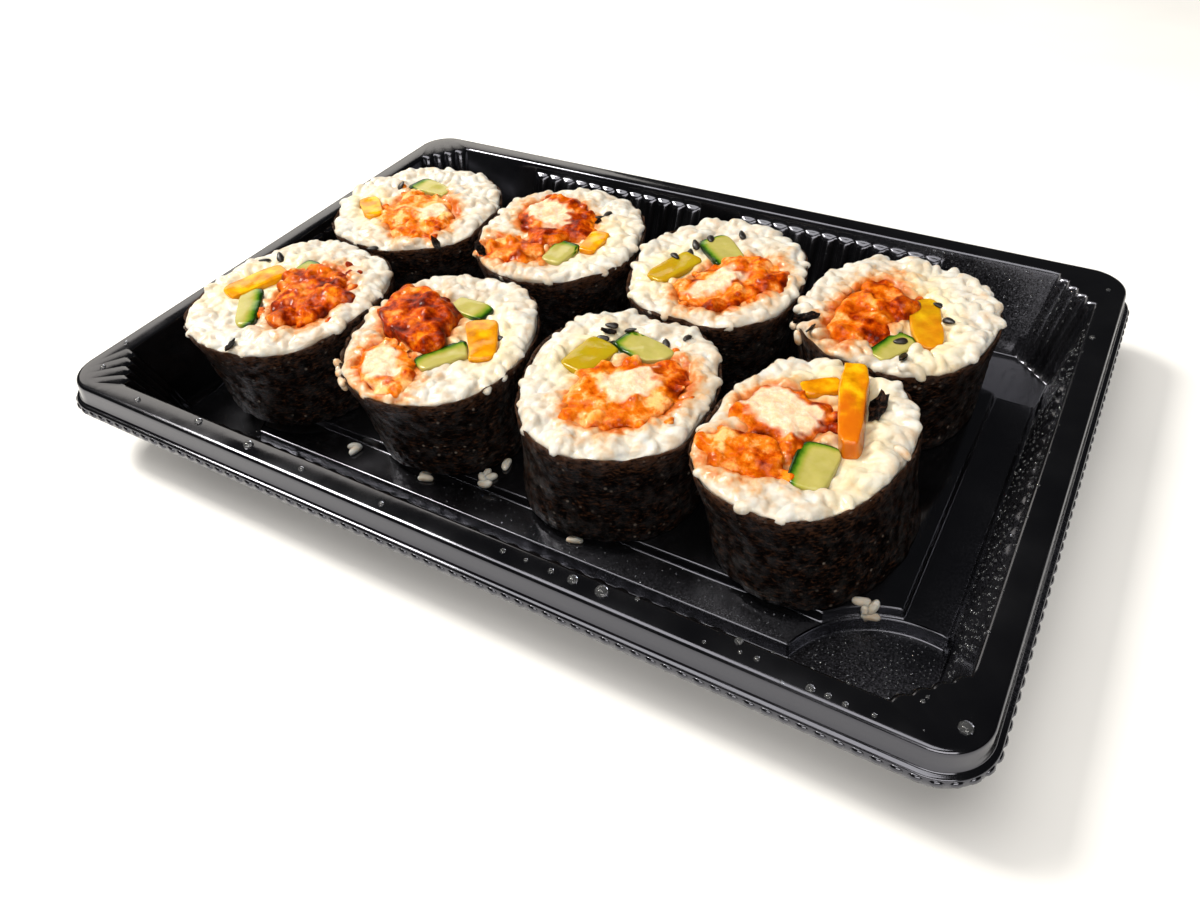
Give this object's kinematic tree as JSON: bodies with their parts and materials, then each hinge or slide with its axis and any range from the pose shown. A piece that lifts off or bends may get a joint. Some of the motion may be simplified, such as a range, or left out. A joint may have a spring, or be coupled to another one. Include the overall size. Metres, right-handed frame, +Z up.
{
  "type": "takeaway sushi tray",
  "caption": "Takeaway sushi tray: a thin black moulded tray with fluted walls and a stepped floor, holding rows of thick seaweed rolls filled with fried chicken, cucumber and pickled radish.",
  "frame": {"origin": "under the middle of the tray, on the surface it stands on", "axes": "+X along the tray's long side to the right, +Y to the back, +Z up"},
  "size_m": [0.2228, 0.1564, 0.0349],
  "materials": {
    "tray_plastic": "glossy black thermoformed plastic",
    "seaweed": "pressed dark seaweed sheet, slightly shiny",
    "rice": "moist cooked rice",
    "radish": "moist pickled radish",
    "cucumber": "moist cut cucumber with dark green skin",
    "chicken": "fried chicken in orange coating and red sauce",
    "crust": "craggy fried coating with red sauce"
  },
  "bodies": {
    "root": {"tray": "tray_plastic", "front_1_nori": "seaweed", "front_1_rice": "rice", "front_1_radish": "radish", "front_1_cucumber": "cucumber", "front_1_cucumber_2": "cucumber", "front_1_chicken": "chicken", "front_2_nori": "seaweed", "front_2_rice": "rice", "front_2_radish": "radish", "front_2_cucumber": "cucumber", "front_2_cucumber_2": "cucumber", "front_2_chicken": "chicken", "front_2_crust": "crust", "front_3_nori": "seaweed", "front_3_rice": "rice", "front_3_radish": "radish", "front_3_cucumber": "cucumber", "front_3_chicken": "chicken", "front_4_nori": "seaweed", "front_4_rice": "rice", "front_4_radish": "radish", "front_4_radish_2": "radish", "front_4_cucumber": "cucumber", "front_4_chicken": "chicken", "front_4_crust": "crust", "back_1_nori": "seaweed", "back_1_rice": "rice", "back_1_radish": "radish", "back_1_cucumber": "cucumber", "back_1_chicken": "chicken", "back_2_nori": "seaweed", "back_2_rice": "rice", "back_2_radish": "radish", "back_2_cucumber": "cucumber", "back_2_chicken": "chicken", "back_2_crust": "crust", "back_3_nori": "seaweed", "back_3_rice": "rice", "back_3_radish": "radish", "back_3_cucumber": "cucumber", "back_3_chicken": "chicken", "back_4_nori": "seaweed", "back_4_rice": "rice", "back_4_radish": "radish", "back_4_cucumber": "cucumber", "back_4_chicken": "chicken"}
  },
  "joints": []
}
